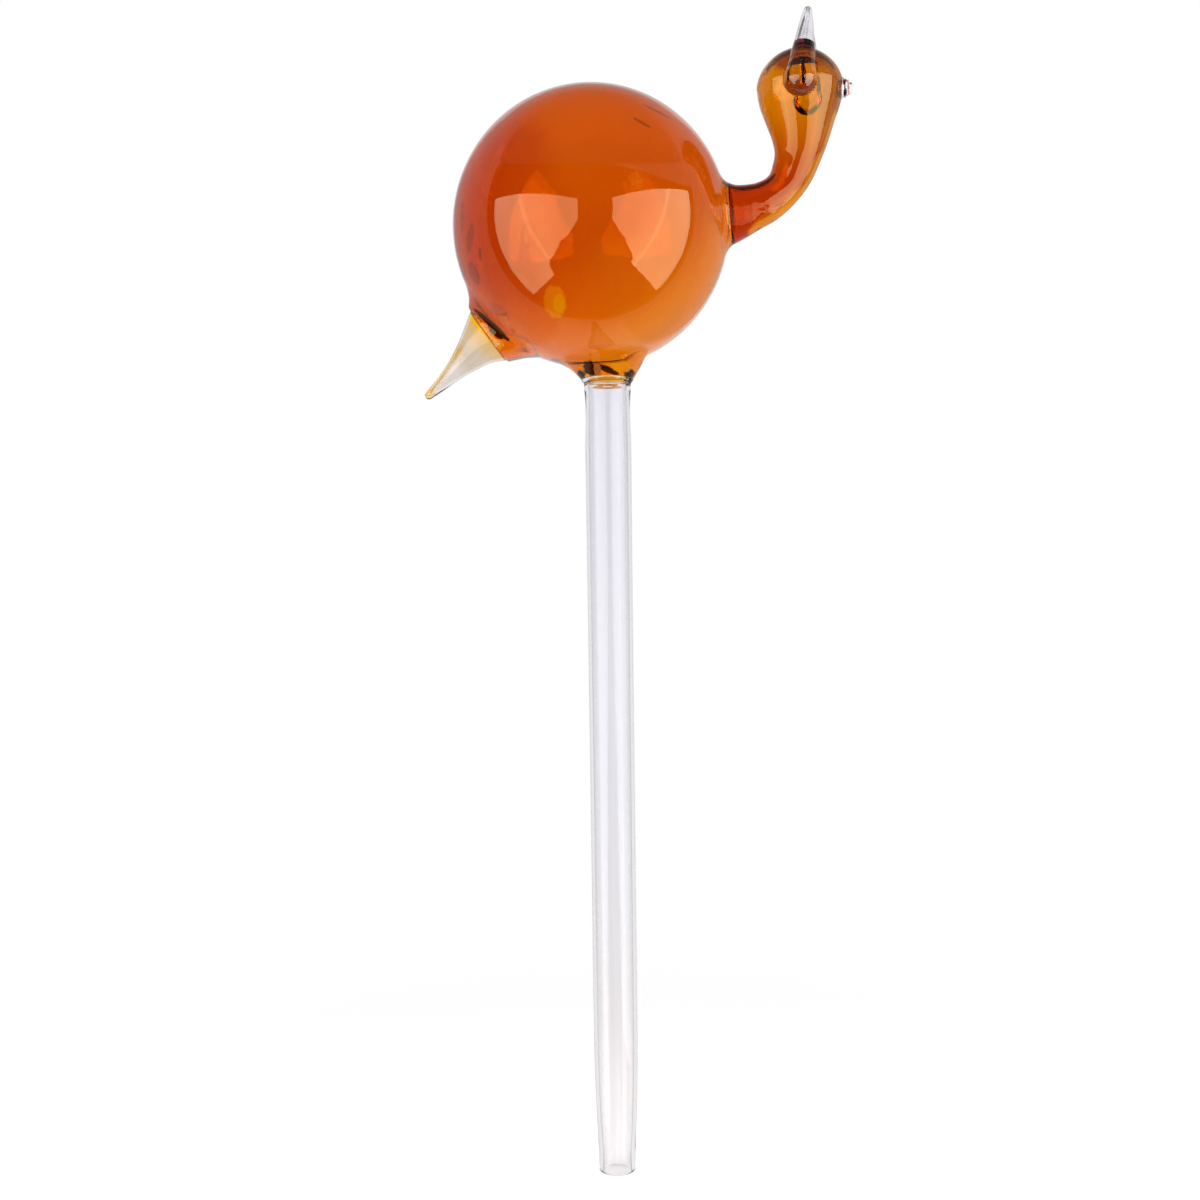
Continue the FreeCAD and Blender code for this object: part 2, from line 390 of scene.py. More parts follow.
def globe_field(p, thinning):
    """Blown shell with collar, tail stub and neck boss, smaller all round by a wall for its hollow."""
    hollow = thinning > 0
    from_centre = p - globe_centre
    reach = np.linalg.norm(from_centre, axis=-1)
    rise = np.clip((p[..., 2] - crown_thinning_from) / (crown_thinning_to - crown_thinning_from), 0, 1)
    wall = thinning * (1 - crown_thinning_share * rise * rise * (3 - 2 * rise))
    body = reach - globe_radius + globe_waviness * waves(p, globe_wave_length) + wall
    if hollow:
        body = body + globe_waviness * waves(p[..., [1, 2, 0]], globe_wave_length * hollow_wave_share)

    z = p[..., 2]
    heights, leans, radii = zip(*collar_shape)
    radii = np.subtract(radii, collar_wall * hollow)
    if hollow:
        radii[:2] = [collar_foot_bore, weld_bore]
    from_axis = np.hypot(p[..., 0] - smooth(z, heights, leans), p[..., 1])
    collar = cone_field(from_axis, z, heights, radii, (collar_ends[0] - thinning, collar_ends[1]))

    stub = seated_cone(p, globe_centre + stub_heading * globe_radius, stub_heading, stub_girths,
                       tail_wall * hollow, (stub_ends[0], stub_ends[1] + thinning))
    boss = seated_cone(p, neck_seat, seat_heading, boss_girths,
                       neck_wall * hollow, (boss_ends[0] - thinning, boss_ends[1] + thinning))
    field = blended(body, collar, throat_blend if hollow else collar_blend)
    field = blended(field, web_field(p) + thinning, web_blend)
    field = blended(field, stub, stub_blend)
    return blended(field, boss, boss_blend)


def make_globe():
    """Hollow amber shell, cut flat at the weld ring, at the tail's seam and at the neck."""
    low = globe_centre - globe_radius - net_margin
    high = globe_centre + globe_radius + net_margin
    low[2] = net_bottom
    high[0] = boss_end[0] + net_boss_margin
    outer, inner = [net_over(lambda p: globe_field(p, thinning), low, high, globe_net_step)
                    for thinning in (0.0, globe_wall)]
    points = np.concatenate([outer[0], inner[0]])
    quads = np.concatenate([outer[1], inner[1][:, ::-1] + len(outer[0])])
    shell = piece("globe_glass", points, quads)
    slots = [inside_slot * (i >= len(outer[1])) for i in range(len(quads))]
    shell.data.polygons.foreach_set("material_index", slots)

    cuts = [
        (np.array([0.0, 0.0, weld_ring_height]), np.array([0.0, 0.0, -1.0])),
        (tail_seam, seam_heading),
        (boss_end, seat_heading),
    ]
    edit = bmesh.new()
    edit.from_mesh(shell.data)
    for place, outwards in cuts:
        everything = edit.verts[:] + edit.edges[:] + edit.faces[:]
        bmesh.ops.bisect_plane(edit, geom=everything, plane_co=place * MM, plane_no=outwards,
                               clear_outer=True)
        rim = [e for e in edit.edges if e.is_boundary]
        made = bmesh.ops.bridge_loops(edit, edges=rim)
        for face in made["faces"]:
            face.smooth = False
            face.material_index = fused_slot
    bmesh.ops.recalc_face_normals(edit, faces=edit.faces[:])
    edit.to_mesh(shell.data)
    edit.free()
    return shell


def neck_rings(thinning):
    """Rings of the bent tube from the boss to the crown, smaller all round by the thinning."""
    start = boss_end - neck_seat + seat_heading * seam_gap
    foot = (start[0], start[2], smooth(neck_boss_length, *zip(*boss_girths)), neck_seat_heading)
    reach, rise, girth, slope = zip(foot, *neck_shape, (neck_reach, neck_rise, head_radius, 90.0))
    run = np.concatenate([[0], np.cumsum(np.hypot(np.diff(reach), np.diff(rise)))])
    rings = []
    for s in np.linspace(0, run[-1], neck_rows):
        centre = neck_seat + np.array([smooth(s, run, reach), 0.0, smooth(s, run, rise)])
        rings.append((centre, heading(smooth(s, run, slope)), smooth(s, run, girth) - thinning))
    for turn in turns_between(0, 90, crown_rows):
        lift = heading(90) * (crown_height - thinning) * math.sin(turn) ** (2 / crown_roundness)
        girth = (head_radius - thinning) * math.cos(turn) ** (2 / crown_roundness)
        rings.append((head_centre + lift, heading(90), girth))
    rings.append((head_centre + heading(90) * (crown_height - thinning), heading(90), 0))
    return rings


def make_neck_and_head(fused_on):
    """Bent tube and head. Its outer skin is a contact face under the drops that are fused onto it."""
    outer = neck_rings(0)
    rings = outer + neck_rings(neck_wall)[::-1]
    thing = piece("neck_and_head_glass", *skin_through(rings, neck_turns, closed=True))
    places = [tree_of(drop.data, [f for f in drop.data.polygons if f.material_index == fused_end_slot])
              for drop in fused_on]
    outer_faces = (len(outer) - 1) * neck_turns
    for face in thing.data.polygons:
        if not face.use_smooth:
            face.material_index = fused_slot
        elif face.index >= outer_faces:
            face.material_index = inside_slot
        elif any(tree.find_nearest(face.center, contact_reach * MM)[0] for tree in places):
            face.material_index = covered_slot
        else:
            ahead = face.center.x / MM
            steps = [root_slot + i for i, (reach, _) in enumerate(neck_mirroring) if ahead < reach]
            face.material_index = min(steps, default=0)
    return thing


def tree_of(mesh, faces):
    """Search tree over some faces of a mesh."""
    return BVHTree.FromPolygons([vertex.co for vertex in mesh.vertices], [face.vertices for face in faces])


def tail_rings(thinning):
    """Rings of the drawn cone, whose wall thins as the cone narrows."""
    wall_share = thinning / tail_root_radius
    upper_side = np.cross(tail_heading, np.array([0.0, 1.0, 0.0]))
    shares, girths, drifts = zip(*tail_shape)
    rings = []
    for share in np.linspace(0, shares[-1], tail_rows):
        drift = upper_side * smooth(share, shares, drifts)
        centre = tail_seam + seam_heading * seam_gap + tail_heading * (tail_length * share) + drift
        bend = min(1.0, share / tail_bend_share)
        turn = tail_seam_heading + (tail_run_heading - tail_seam_heading) * bend
        bore_share = 1 - wall_share * (1 + tail_thickening * share ** 3)
        rings.append((centre, heading(turn), smooth(share, shares, girths) * bore_share))
    return rings


def rounded_end(last_ring, steps=8):
    """Rings that close a skin with a round end, past its last ring."""
    centre, along, radius = last_ring
    rings = []
    for turn in turns_between(0, 90, steps + 1):
        rings.append((centre + along * radius * math.sin(turn), along, radius * math.cos(turn)))
    rings.append((centre + along * radius, along, 0))
    return rings


def make_tail():
    outer = tail_rings(0)
    inner = tail_rings(tail_wall)[:int(tail_rows * tail_bore_share)]
    outer = outer + rounded_end(outer[-1])
    inner = inner + rounded_end(inner[-1])
    return with_contact(piece("tail_glass", *skin_through(outer + inner[::-1], tail_turns, closed=True)))


def with_contact(thing):
    """Gives the flat end of a fused piece the contact material."""
    for face in thing.data.polygons:
        if not face.use_smooth:
            face.material_index = fused_end_slot
    return thing


def make_stem():
    """Clear tube with its weld ring, drawn-in end and fire-polished mouth, going downwards."""
    down = np.array([0.0, 0.0, -1.0])
    top = weld_ring_height - seam_gap
    rim_roundness = mouth_wall / 2
    rim_top = -(stem_length - rim_roundness)
    girths = [(top, weld_ring_radius), *stem_girths, (rim_top, mouth_radius)]
    bores = [(top, weld_bore), *stem_bores,
             (rim_top + mouth_land_length, mouth_land_bore), (rim_top, mouth_bore)]
    depths = np.concatenate([np.linspace(-top, shoulder_depth, shoulder_rows),
                             np.linspace(shoulder_depth, -rim_top, stem_rows)[1:]])
    rings, bore = [straight_rings(np.zeros(3), down, [(-height, radius) for height, radius in table], depths)
                   for table in (girths, bores)]
    middle = mouth_radius - rim_roundness
    for turn in turns_between(0, 180, mouth_rows):
        centre = down * (-rim_top + rim_roundness * math.sin(turn))
        rings.append((centre, down, middle + rim_roundness * math.cos(turn)))
    rings += bore[::-1]
    return with_contact(piece("stem_glass", *skin_through(rings, stem_turns, closed=True)))


def drop_rings(horn_length):
    """Upright teardrop about the Z axis, with the centre of its round base at the origin."""
    up = heading(90)
    rings = [(-horn_base_radius * up, up, 0)]
    for turn in turns_between(-90, 0, horn_base_rows):
        rings.append((up * horn_base_radius * math.sin(turn), up, horn_base_radius * math.cos(turn)))
    girths = [*horn_girths, (horn_length - horn_tip_radius, horn_tip_radius)]
    rings += straight_rings(np.zeros(3), up, girths, np.linspace(0, girths[-1][0], horn_rows))
    return rings + rounded_end(rings[-1])


def cut_by_head(thing):
    """Cuts a piece by the head, a hair's breadth proud of it, so that it sits on the head's glass."""
    outer = neck_rings(-seam_gap)
    foot = (outer[0][0], outer[0][1], 0)
    cutter = piece("cutter", *skin_through([foot] + outer, neck_turns))
    cut = thing.modifiers.new("cut", "BOOLEAN")
    cut.operation = "DIFFERENCE"
    cut.solver = "EXACT"
    cut.object = cutter
    bpy.context.view_layer.update()
    shaped = bpy.data.meshes.new_from_object(thing.evaluated_get(bpy.context.evaluated_depsgraph_get()))
    thing.modifiers.clear()
    thing.data = shaped
    head = tree_of(cutter.data, cutter.data.polygons)
    bpy.data.objects.remove(cutter)
    for face in shaped.polygons:
        fused = head.find_nearest(face.center)[3] < cut_reach * MM
        face.material_index = fused_end_slot if fused else 0
    shaped.polygons.foreach_set("use_smooth", [True] * len(shaped.polygons))
    shaped.set_sharp_from_angle(angle=math.radians(sharp_edge))
    return thing


def make_horn(side):
    """Horn on one side of the head: +1 is the left horn, -1 the right."""
    name = "left_horn_glass" if side > 0 else "right_horn_glass"
    forwards, lift, lean, length = left_horn_set if side > 0 else right_horn_set
    base = head_centre + np.array([forwards, side * (head_radius - horn_base_sink), lift])
    direction = np.array([math.tan(math.radians(lean)),
                          -side * math.tan(math.radians(horn_toe_in_angle)), 1.0])
    along = direction / np.linalg.norm(direction)
    across = np.cross([0.0, 1.0, 0.0], along)
    across /= np.linalg.norm(across)
    turn = np.stack([across, np.cross(along, across), along], 1)
    points, faces, flat = skin_through(drop_rings(length), horn_turns)
    points = np.asarray(points) @ turn.T + base
    return cut_by_head(piece(name, points, faces, flat))


def make_nose():
    along = heading(-nose_drop_angle)
    first, last = nose_shape[0][0], nose_shape[-1][0]
    rings = [(head_centre + along * first, along, 0)]
    rings += straight_rings(head_centre, along, nose_shape, np.linspace(first, last, nose_rows))
    end = rings[-1]
    flatness = (nose_length - last) / end[2]
    for ring in rounded_end(end):
        rings.append((end[0] + (ring[0] - end[0]) * flatness, along, ring[2]))
    return cut_by_head(piece("nose_bead_glass", *skin_through(rings, nose_turns)))


# Materials

class Graph:
    """A node tree with short words for the nodes that the materials and the world use."""

    def __init__(self, owner):
        owner.use_nodes = True
        self.tree = owner.node_tree
        self.tree.nodes.clear()

    def add(self, kind, inputs=(), **settings):
        node = self.tree.nodes.new(kind)
        for name, value in settings.items():
            setattr(node, name, value)
        for name, value in dict(inputs).items():
            self.set(node.inputs[name], value)
        return node

    def out(self, kind, inputs=(), socket=0, **settings):
        """Output socket of a new node."""
        return self.add(kind, inputs, **settings).outputs[socket]

    def set(self, socket, value):
        if isinstance(value, bpy.types.NodeSocket):
            self.tree.links.new(value, socket)
        else:
            socket.default_value = (*value, 1.0) if socket.type == "RGBA" else value

    def sum(self, operation, *values):
        return self.out("ShaderNodeMath", enumerate(values), operation=operation)

    def times(self, one, two):
        return self.sum("MULTIPLY", one, two)

    def step(self, value, start, end, low=0.0, high=1.0):
        """Smooth step of a value from low to high between start and end."""
        names = {"Value": value, "From Min": start, "From Max": end, "To Min": low, "To Max": high}
        return self.out("ShaderNodeMapRange", names, interpolation_type="SMOOTHSTEP")

    def between(self, share, one, two):
        """Number that goes from one to two with the share."""
        return self.out("ShaderNodeMix", {0: share, 2: one, 3: two})

    def mix(self, share, one, two):
        """Colour that goes from one to two with the share."""
        node = self.add("ShaderNodeMix", data_type="RGBA")
        for socket, value in zip([s for s in node.inputs if s.enabled], (share, one, two)):
            self.set(socket, value)
        return [s for s in node.outputs if s.enabled][0]

    def vector(self, operation, names, socket=0):
        return self.out("ShaderNodeVectorMath", names, socket, operation=operation)

    def place(self):
        """Position on the object in millimetres, as a vector."""
        spot = self.out("ShaderNodeTexCoord", socket="Object")
        return self.vector("SCALE", {0: spot, "Scale": 1 / MM})

    def stretched(self, vector, scales):
        return self.vector("MULTIPLY", {0: vector, 1: scales})

    def noise(self, vector, scale, detail=2.0, roughness=0.5, distortion=0.0):
        names = {"Vector": vector, "Scale": scale, "Detail": detail, "Roughness": roughness,
                 "Distortion": distortion}
        return self.out("ShaderNodeTexNoise", names, "Fac")

    def wander(self, noise, reach):
        """Noise as a length that wanders by the reach to both sides of nought."""
        return self.sum("MULTIPLY_ADD", noise, 2 * reach, -reach)

    def along(self, vector, direction):
        return self.vector("DOT_PRODUCT", {0: vector, 1: tuple(direction)}, "Value")

    def blot(self, vector, centre, run, length, width, raggedness):
        """Ragged spot about a centre, 1 inside and 0 outside. Its run is given ahead and up."""
        run = np.array([run[0], 0.0, run[1]]) / np.linalg.norm(run)
        away = self.vector("SUBTRACT", {0: vector, 1: tuple(centre)})
        forwards = self.along(away, run / length)
        upwards = self.along(away, np.cross(run, side_axis) / width)
        squares = self.sum("ADD", self.times(forwards, forwards), self.times(upwards, upwards))
        ragged = self.wander(self.noise(vector, blot_noise_scale, 3.0, 0.6), 2 * raggedness)
        return self.step(self.sum("ADD", squares, ragged), *blot_edge)


def glass(name, graph_maker, **fixed):
    """Glass material; the maker gives colour, roughness and bump sockets, the rest is fixed."""
    material = bpy.data.materials.new(name)
    graph = Graph(material)
    sockets = {name.replace("_", " "): value for name, value in fixed.items()}
    shader = graph.out("ShaderNodeBsdfPrincipled", {**sockets, **graph_maker(graph)})
    graph.add("ShaderNodeOutputMaterial", {"Surface": shader})
    return material


def skin(graph, colour, relief, strength, height):
    """Sockets of clean glass with a relief of a height in millimetres."""
    names = {"Height": relief, "Strength": strength, "Distance": height * MM}
    return {"Base Color": colour, "Roughness": 0.0, "Normal": graph.out("ShaderNodeBump", names)}


def washed(graph, place, colour, washes, wander=0.0):
    """Colour with washes over it. Each has a direction, where it starts and is full, and a colour."""
    for direction, start, full, tone in washes:
        spot = graph.sum("ADD", graph.along(place, direction), wander)
        colour = graph.mix(graph.step(spot, start, full), colour, tone)
    return colour


def marked(graph, place, colour, marks, raggedness, near_side=1.0):
    """Colour with marks over it. Each has a centre, run, half length, half width, strength and colour."""
    for centre, run, length, width, strength, tone in marks:
        mark = graph.times(graph.blot(place, centre, run, length, width, raggedness), strength)
        colour = graph.mix(graph.times(mark, near_side), colour, tone)
    return colour


up_axis = (0.0, 0.0, 1.0)
down_axis = (0.0, 0.0, -1.0)
ahead_axis = (1.0, 0.0, 0.0)
side_axis = (0.0, 1.0, 0.0)

# Edge of a mark, where 1 is its outline, and the scale of the noise that makes it ragged
blot_edge = (1.15, 0.75)
blot_noise_scale = 0.9

# Where along Y the near side of the globe and of the horn begins and is full
globe_near_side = (1.0, -2.0)
horn_near_side = (-2.0, -3.0)

white = (1.0, 1.0, 1.0)
smoke = (0.1, 0.012, 0.012)
# Near black: a line along the tail's seam, and painted shade on the collar and the weld ring
near_black = (0.004, 0.0006, 0.0008)
# Painted light: a bright orange patch low on the globe's front, and its yellow core
painted_light_patch = (1.0, 0.45, 0.003)
painted_light_patch_core = (1.0, 0.85, 0.003)
straw_light = (0.86, 0.36, 0.01)
# Painted light: the bright orange rim down the outer side of the neck's bend
neck_rim_painted_light = (0.86, 0.28, 0.006)
# Painted reflection on the collar: its pale upper part and its mauve lower part
collar_painted_reflection_top = (0.95, 0.32, 0.2)
collar_painted_reflection_foot = (0.22, 0.07, 0.09)

# Amber of the shell, reddest at its back and palest under its front, with a mottle of this reach.
# The relief of all the amber glass is its strength and its height.
amber_relief = (0.15, 0.2)
amber_base = (0.59, 0.072, 0.001)
amber_washes = [
    (up_axis, 46, 62, (0.69, 0.098, 0.001)),
    (ahead_axis, -12, -26, (0.51, 0.038, 0.001)),
    (up_axis, 28, 12, (0.84, 0.14, 0.002)),
    ((0.7, 0, -0.7), -20, 0, (0.87, 0.225, 0.004)),
]
mottle_reach = 7.0

# Marks on the shell's near side: smoke, a near-black seam line, painted light, painted shade, a paler patch
# and a painted reflection
amber_marks = [
    ((-33, -20.2, 39.5), (0.1, 1), 4, 0.8, 0.45, smoke),
    ((-30.6, -22.1, 33.6), (0.35, 1), 3.4, 1.3, 0.6, smoke),
    ((-27.8, -23.5, 29.2), (0.1, 1), 1.5, 0.45, 0.85, smoke),
    ((-30.7, -18.1, 26), (-0.5, 1), 3, 1.5, 0.65, smoke),
    ((15.9, -20.2, 62.6), (1, -0.42), 3.6, 0.28, 0.9, smoke),
    ((12.6, -25.8, 58), (1, -0.55), 2.4, 0.5, 0.7, smoke),
    # Painted light: a bright orange patch with a yellow core
    ((-9.1, -25.5, 16.4), (0.1, 1), 3.3, 2.9, 1, painted_light_patch),
    ((-8.2, -25.5, 16), (0.3, 1), 1.9, 1.5, 1, painted_light_patch_core),
    ((-28.5, -8, 15), (1, -0.93), 6.8, 0.7, 1, near_black),
    ((-27.4, -8, 13.2), (1, -0.93), 2.6, 1.1, 1, near_black),
    ((-25, -12, 17), (1, -0.6), 3, 1.2, 0.35, smoke),
    # Painted shade: dark patches at the collar's corners and across its front
    ((-6.2, -3, 1.5), (0.6, -1), 1.8, 1.1, 1, near_black),
    ((6.7, -4, 0.9), (-0.5, 1), 2.6, 1.7, 1, near_black),
    ((-2.9, -8, 3.1), (0.3, 1), 1.7, 2.5, 1, near_black),
    ((1, -8, 2.7), (1, -0.4), 3, 0.8, 1, near_black),
    ((4.4, -8, 3.4), (1, 0), 2.2, 1.3, 0.9, straw_light),
    # Painted reflection on the collar: pale above, mauve below
    ((-1.6, -8, 5.4), (0.12, 1), 1.7, 1.15, 0.9, collar_painted_reflection_top),
    ((-1.5, -8, 2.7), (-0.05, 1), 1.9, 0.95, 0.9, collar_painted_reflection_foot),
]


def amber_parts(graph):
    place = graph.place()
    mottle = graph.wander(graph.noise(place, 0.06, 3.0), mottle_reach)
    colour = washed(graph, place, amber_base, amber_washes, mottle)
    near_side = graph.step(graph.along(place, side_axis), *globe_near_side)
    colour = marked(graph, place, colour, amber_marks, 0.25, near_side)
    return skin(graph, colour, graph.noise(place, 0.12), *amber_relief)


# Amber of the neck and head: paler upwards, brown at the front of the head, and painted shade, a dark purple
# band, at the crown
neck_amber = (0.48, 0.032, 0.0005)
head_washes = [(up_axis, 48.0, 72.0, (0.66, 0.19, 0.001))]
brown_amber = (0.46, 0.115, 0.004)
brown_ahead_edge = (52.5, 57.5)
brown_height_edge = (58.0, 66.0)
crown_painted_shade = [(up_axis, 79.6, 81.4, (0.13, 0.008, 0.06))]

# Painted light down the outer side of the neck's bend, a bright orange rim, and the dark band at its weld
neck_marks = [
    ((57.4, -6, 60.4), (0.28, 1), 6.5, 0.8, 0.7, neck_rim_painted_light),
    ((53.1, -6, 50.6), (0.45, 1), 6.5, 1.3, 0.9, neck_rim_painted_light),
    ((47.9, -6, 43.9), (1, 1.1), 5.5, 1.7, 0.9, neck_rim_painted_light),
    ((41.8, -6, 39.6), (1, 0.65), 6, 1.7, 0.8, neck_rim_painted_light),
    ((32.4, -6, 42.3), (-0.05, 1), 5.2, 0.85, 0.9, (0.08, 0.003, 0.001)),
]

# Lines drawn in the glass of the neck's root: where they fade out and in, and their height
draw_line_edge = (47.0, 42.0)
draw_line_height = 2.5


def amber_head_parts(graph):
    place = graph.place()
    height = graph.along(place, up_axis)
    ahead = graph.along(place, ahead_axis)
    colour = washed(graph, place, neck_amber, head_washes)
    brown = graph.times(graph.step(ahead, *brown_ahead_edge), graph.step(height, *brown_height_edge))
    colour = graph.mix(brown, colour, brown_amber)
    # Painted shade: a dark purple band at the crown
    colour = washed(graph, place, colour, crown_painted_shade, graph.wander(graph.noise(place, 0.25, 3.0), 1.0))
    # Painted light down the outer side of the bend, and the dark band at the weld
    colour = marked(graph, place, colour, neck_marks, 0.1)
    draw_lines = graph.noise(graph.stretched(place, (0.06, 1.0, 1.0)), 1.1)
    draw_lines = graph.times(draw_lines, graph.step(ahead, *draw_line_edge, 0.0, draw_line_height))
    relief = graph.sum("ADD", graph.noise(place, 0.2), draw_lines)
    return skin(graph, colour, relief, *amber_relief)


def amber_inside_parts(graph):
    """Inner skin of the amber glass, whose colour lies in its outer skin."""
    ripple = graph.noise(graph.place(), 0.15)
    return skin(graph, graph.mix(ripple, (0.97, 0.95, 0.9), (0.99, 0.98, 0.96)), ripple, *amber_relief)


def contact_parts(graph):
    """Fused face between two glasses, through which light goes straight."""
    haze = graph.noise(graph.place(), 0.5)
    return {"Base Color": graph.mix(haze, (0.97, 0.97, 0.97), (1.0, 1.0, 1.0)), "Roughness": 0.0}


# Clear glass of the horns, with a seed line and two bands of painted shade on the right horn, and painted
# shade that greys their tips
horn_seed_line = [((50.5, -7.0, 85.6), (0.25, 1.0), 4.3, 0.34, 1.0, (0.06, 0.06, 0.07))]
horn_painted_shade_bands = [
    ((49.7, -14, 78.5), (1, 0.1), 3.6, 1.5, 1, (0.34, 0.22, 0.27)),
    ((50.4, -14, 75.4), (1, 0.1), 3.7, 1.2, 1, (0.006, 0.002, 0.004)),
]
horn_tip_painted_shade = [(up_axis, 91.2, 92.4, (0.45, 0.42, 0.46))]
horn_streak_edge = (0.3, 0.65)


def clear_parts(graph):
    place = graph.place()
    streaks = graph.noise(graph.stretched(place, (1.0, 1.0, 0.12)), 0.7)
    colour = graph.mix(graph.step(streaks, *horn_streak_edge), (0.7, 0.685, 0.74), (0.88, 0.87, 0.9))
    # Painted shade: greyer at the tips
    colour = washed(graph, place, colour, horn_tip_painted_shade)
    near_side = graph.step(graph.along(place, side_axis), *horn_near_side)
    colour = marked(graph, place, colour, horn_seed_line, 0.1, near_side)
    # Painted shade: a purple-grey band and a black band on the right horn
    colour = marked(graph, place, colour, horn_painted_shade_bands, 0.15, near_side)
    return skin(graph, colour, streaks, 0.2, 0.25)


# Marks in the ridges of the nose bead, most of them near black
bead_marks = [
    ((61.05, -2, 73.3), (0, 1), 0.9, 0.36, 1, (0.004, 0.002, 0.004)),
    ((61.15, -2, 72.2), (0, 1), 0.7, 0.24, 1, (0.1, 0.008, 0.02)),
    ((61.25, -2, 71.1), (0.15, 1), 0.8, 0.45, 1, (0.001, 0.001, 0.003)),
    ((61.35, -2, 69.9), (0.3, 1), 0.5, 0.36, 1, (0.02, 0.004, 0.006)),
    ((61.5, -2, 73.7), (1, -0.3), 0.45, 0.28, 1, (0.25, 0.01, 0.02)),
    ((62.15, -2, 71.9), (0, 1), 1.5, 0.22, 0.9, (0.5, 0.15, 0.14)),
    ((62.6, -2, 73.2), (1, -0.6), 0.35, 0.2, 1, (0.01, 0.008, 0.01)),
]


def bead_parts(graph):
    """Clear glass gone milky where its threads were melted on, with dark marks between them."""
    place = graph.place()
    haze = graph.noise(place, 1.6)
    colour = graph.mix(haze, (0.86, 0.89, 0.88), (0.98, 0.95, 0.96))
    colour = marked(graph, place, colour, bead_marks, 0.15)
    return skin(graph, colour, haze, 0.2, 0.15)


# Clear glass of the stem, palest at its lower end, with drawn lines and painted shade, a dark patch, on the
# weld ring
stem_clear = (0.86, 0.85, 0.885)
stem_washes = [
    (down_axis, 10, 90, (0.9, 0.895, 0.915)),
    (down_axis, 90, 190, (0.95, 0.93, 0.93)),
]
stem_line_edge = (0.54, 0.42)
stem_line_strength = 0.3
stem_line = (0.8, 0.79, 0.82)
stem_painted_shade = [((6.7, -2.0, -0.2), (-0.5, 1.0), 1.5, 0.9, 1.0, near_black)]


def stem_parts(graph):
    place = graph.place()
    streaks = graph.noise(graph.stretched(place, (1.0, 1.0, 0.006)), 0.45)
    colour = washed(graph, place, stem_clear, stem_washes)
    drawn_lines = graph.times(graph.step(streaks, *stem_line_edge), stem_line_strength)
    colour = graph.mix(drawn_lines, colour, stem_line)
    # Painted shade: a dark patch on the weld ring
    colour = marked(graph, place, colour, stem_painted_shade, 0.15)
    return skin(graph, colour, streaks, 0.1, 0.1)


# Straw glass of the tail, streaked between two colours in its middle and at its end. It yellows towards
# the seam, and has an orange line along its upper edge and in a curl at its tip.
straw_middle = (0.8, 0.72, 0.62), (0.83, 0.77, 0.72)
straw_end = (0.82, 0.77, 0.74), (0.9, 0.88, 0.87)
straw_streak_edge = (0.35, 0.62)
straw_end_edge = (9.0, 14.0)
straw_washes = [
    (tail_heading, 7.0, 0.5, (0.88, 0.7, 0.43)),
    (tail_heading, 0.9, 0.6, (1.0, 0.68, 0.08)),
]
straw_edge_orange = (0.86, 0.5, 0.12)
edge_line_bounds = (-0.85, -0.5)
edge_line_start = (5.0, 9.0)

# The upper edge's height over the tail's run at the seam, and its slope
upper_edge_height = 5.45
upper_edge_fall = -0.205
tip_curl = ((-45.9, -1.0, -1.25), (1.0, 0.15), 1.9, 0.2, 0.1)


def straw_parts(graph):
    place = graph.place()
    upper_side = np.cross(side_axis, tail_heading)
    down_run = graph.along(place, tail_heading)
    across_run = graph.along(place, upper_side)
    flow = graph.out("ShaderNodeCombineXYZ", {
        0: graph.times(down_run, 0.12), 1: across_run, 2: graph.along(place, side_axis)})
    streaks = graph.step(graph.noise(flow, 0.55, 3.0, 0.6, 0.6), *straw_streak_edge)
    seam_down = float(tail_seam @ tail_heading)
    down = graph.sum("SUBTRACT", down_run, seam_down)
    offset = graph.sum("SUBTRACT", across_run, float(tail_seam @ upper_side))
    middle, end = [graph.mix(streaks, one, two) for one, two in (straw_middle, straw_end)]
    colour = graph.mix(graph.step(down, *straw_end_edge), middle, end)
    colour = washed(graph, place, colour, straw_washes, -seam_down)
    edge = graph.sum("MULTIPLY_ADD", down, upper_edge_fall, upper_edge_height)
    edge_line = graph.step(graph.sum("SUBTRACT", offset, edge), *edge_line_bounds)
    edge_line = graph.times(edge_line, graph.step(down, *edge_line_start))
    orange_lines = graph.sum("MAXIMUM", edge_line, graph.blot(place, *tip_curl))
    return skin(graph, graph.mix(orange_lines, colour, straw_edge_orange), graph.noise(flow, 0.3, 0.0), 0.08, 0.15)


# Stage, light and camera

# All in millimetres, apart from the clip distances in metres
camera_place = np.array([47.637, -357.853, -55.5])
camera_turn = math.radians(8.0)
camera_roll = math.radians(0.736)
camera_lens = 42.0
camera_sensor = 36.0
camera_clip = (0.01, 50.0)
toward_camera = np.array([math.sin(camera_turn), -math.cos(camera_turn), 0.0])
camera_right = np.array([math.cos(camera_turn), math.sin(camera_turn), 0.0])
upwards = np.array(up_axis)


def set_place(thing, right, top, back, place):
    """Turns an object to three unit vectors and moves it to a place in millimetres."""
    turn = np.eye(4)
    turn[:3, 0], turn[:3, 1], turn[:3, 2], turn[:3, 3] = right, top, back, place * MM
    thing.matrix_world = Matrix(turn.tolist())


def make_camera():
    camera = in_scene("camera", bpy.data.cameras.new("camera"))
    camera.data.lens = camera_lens
    camera.data.sensor_width = camera_sensor
    camera.data.clip_start, camera.data.clip_end = camera_clip
    right = math.cos(camera_roll) * camera_right - math.sin(camera_roll) * upwards
    top = math.sin(camera_roll) * camera_right + math.cos(camera_roll) * upwards
    set_place(camera, right, top, toward_camera, camera_place)
    bpy.context.scene.camera = camera


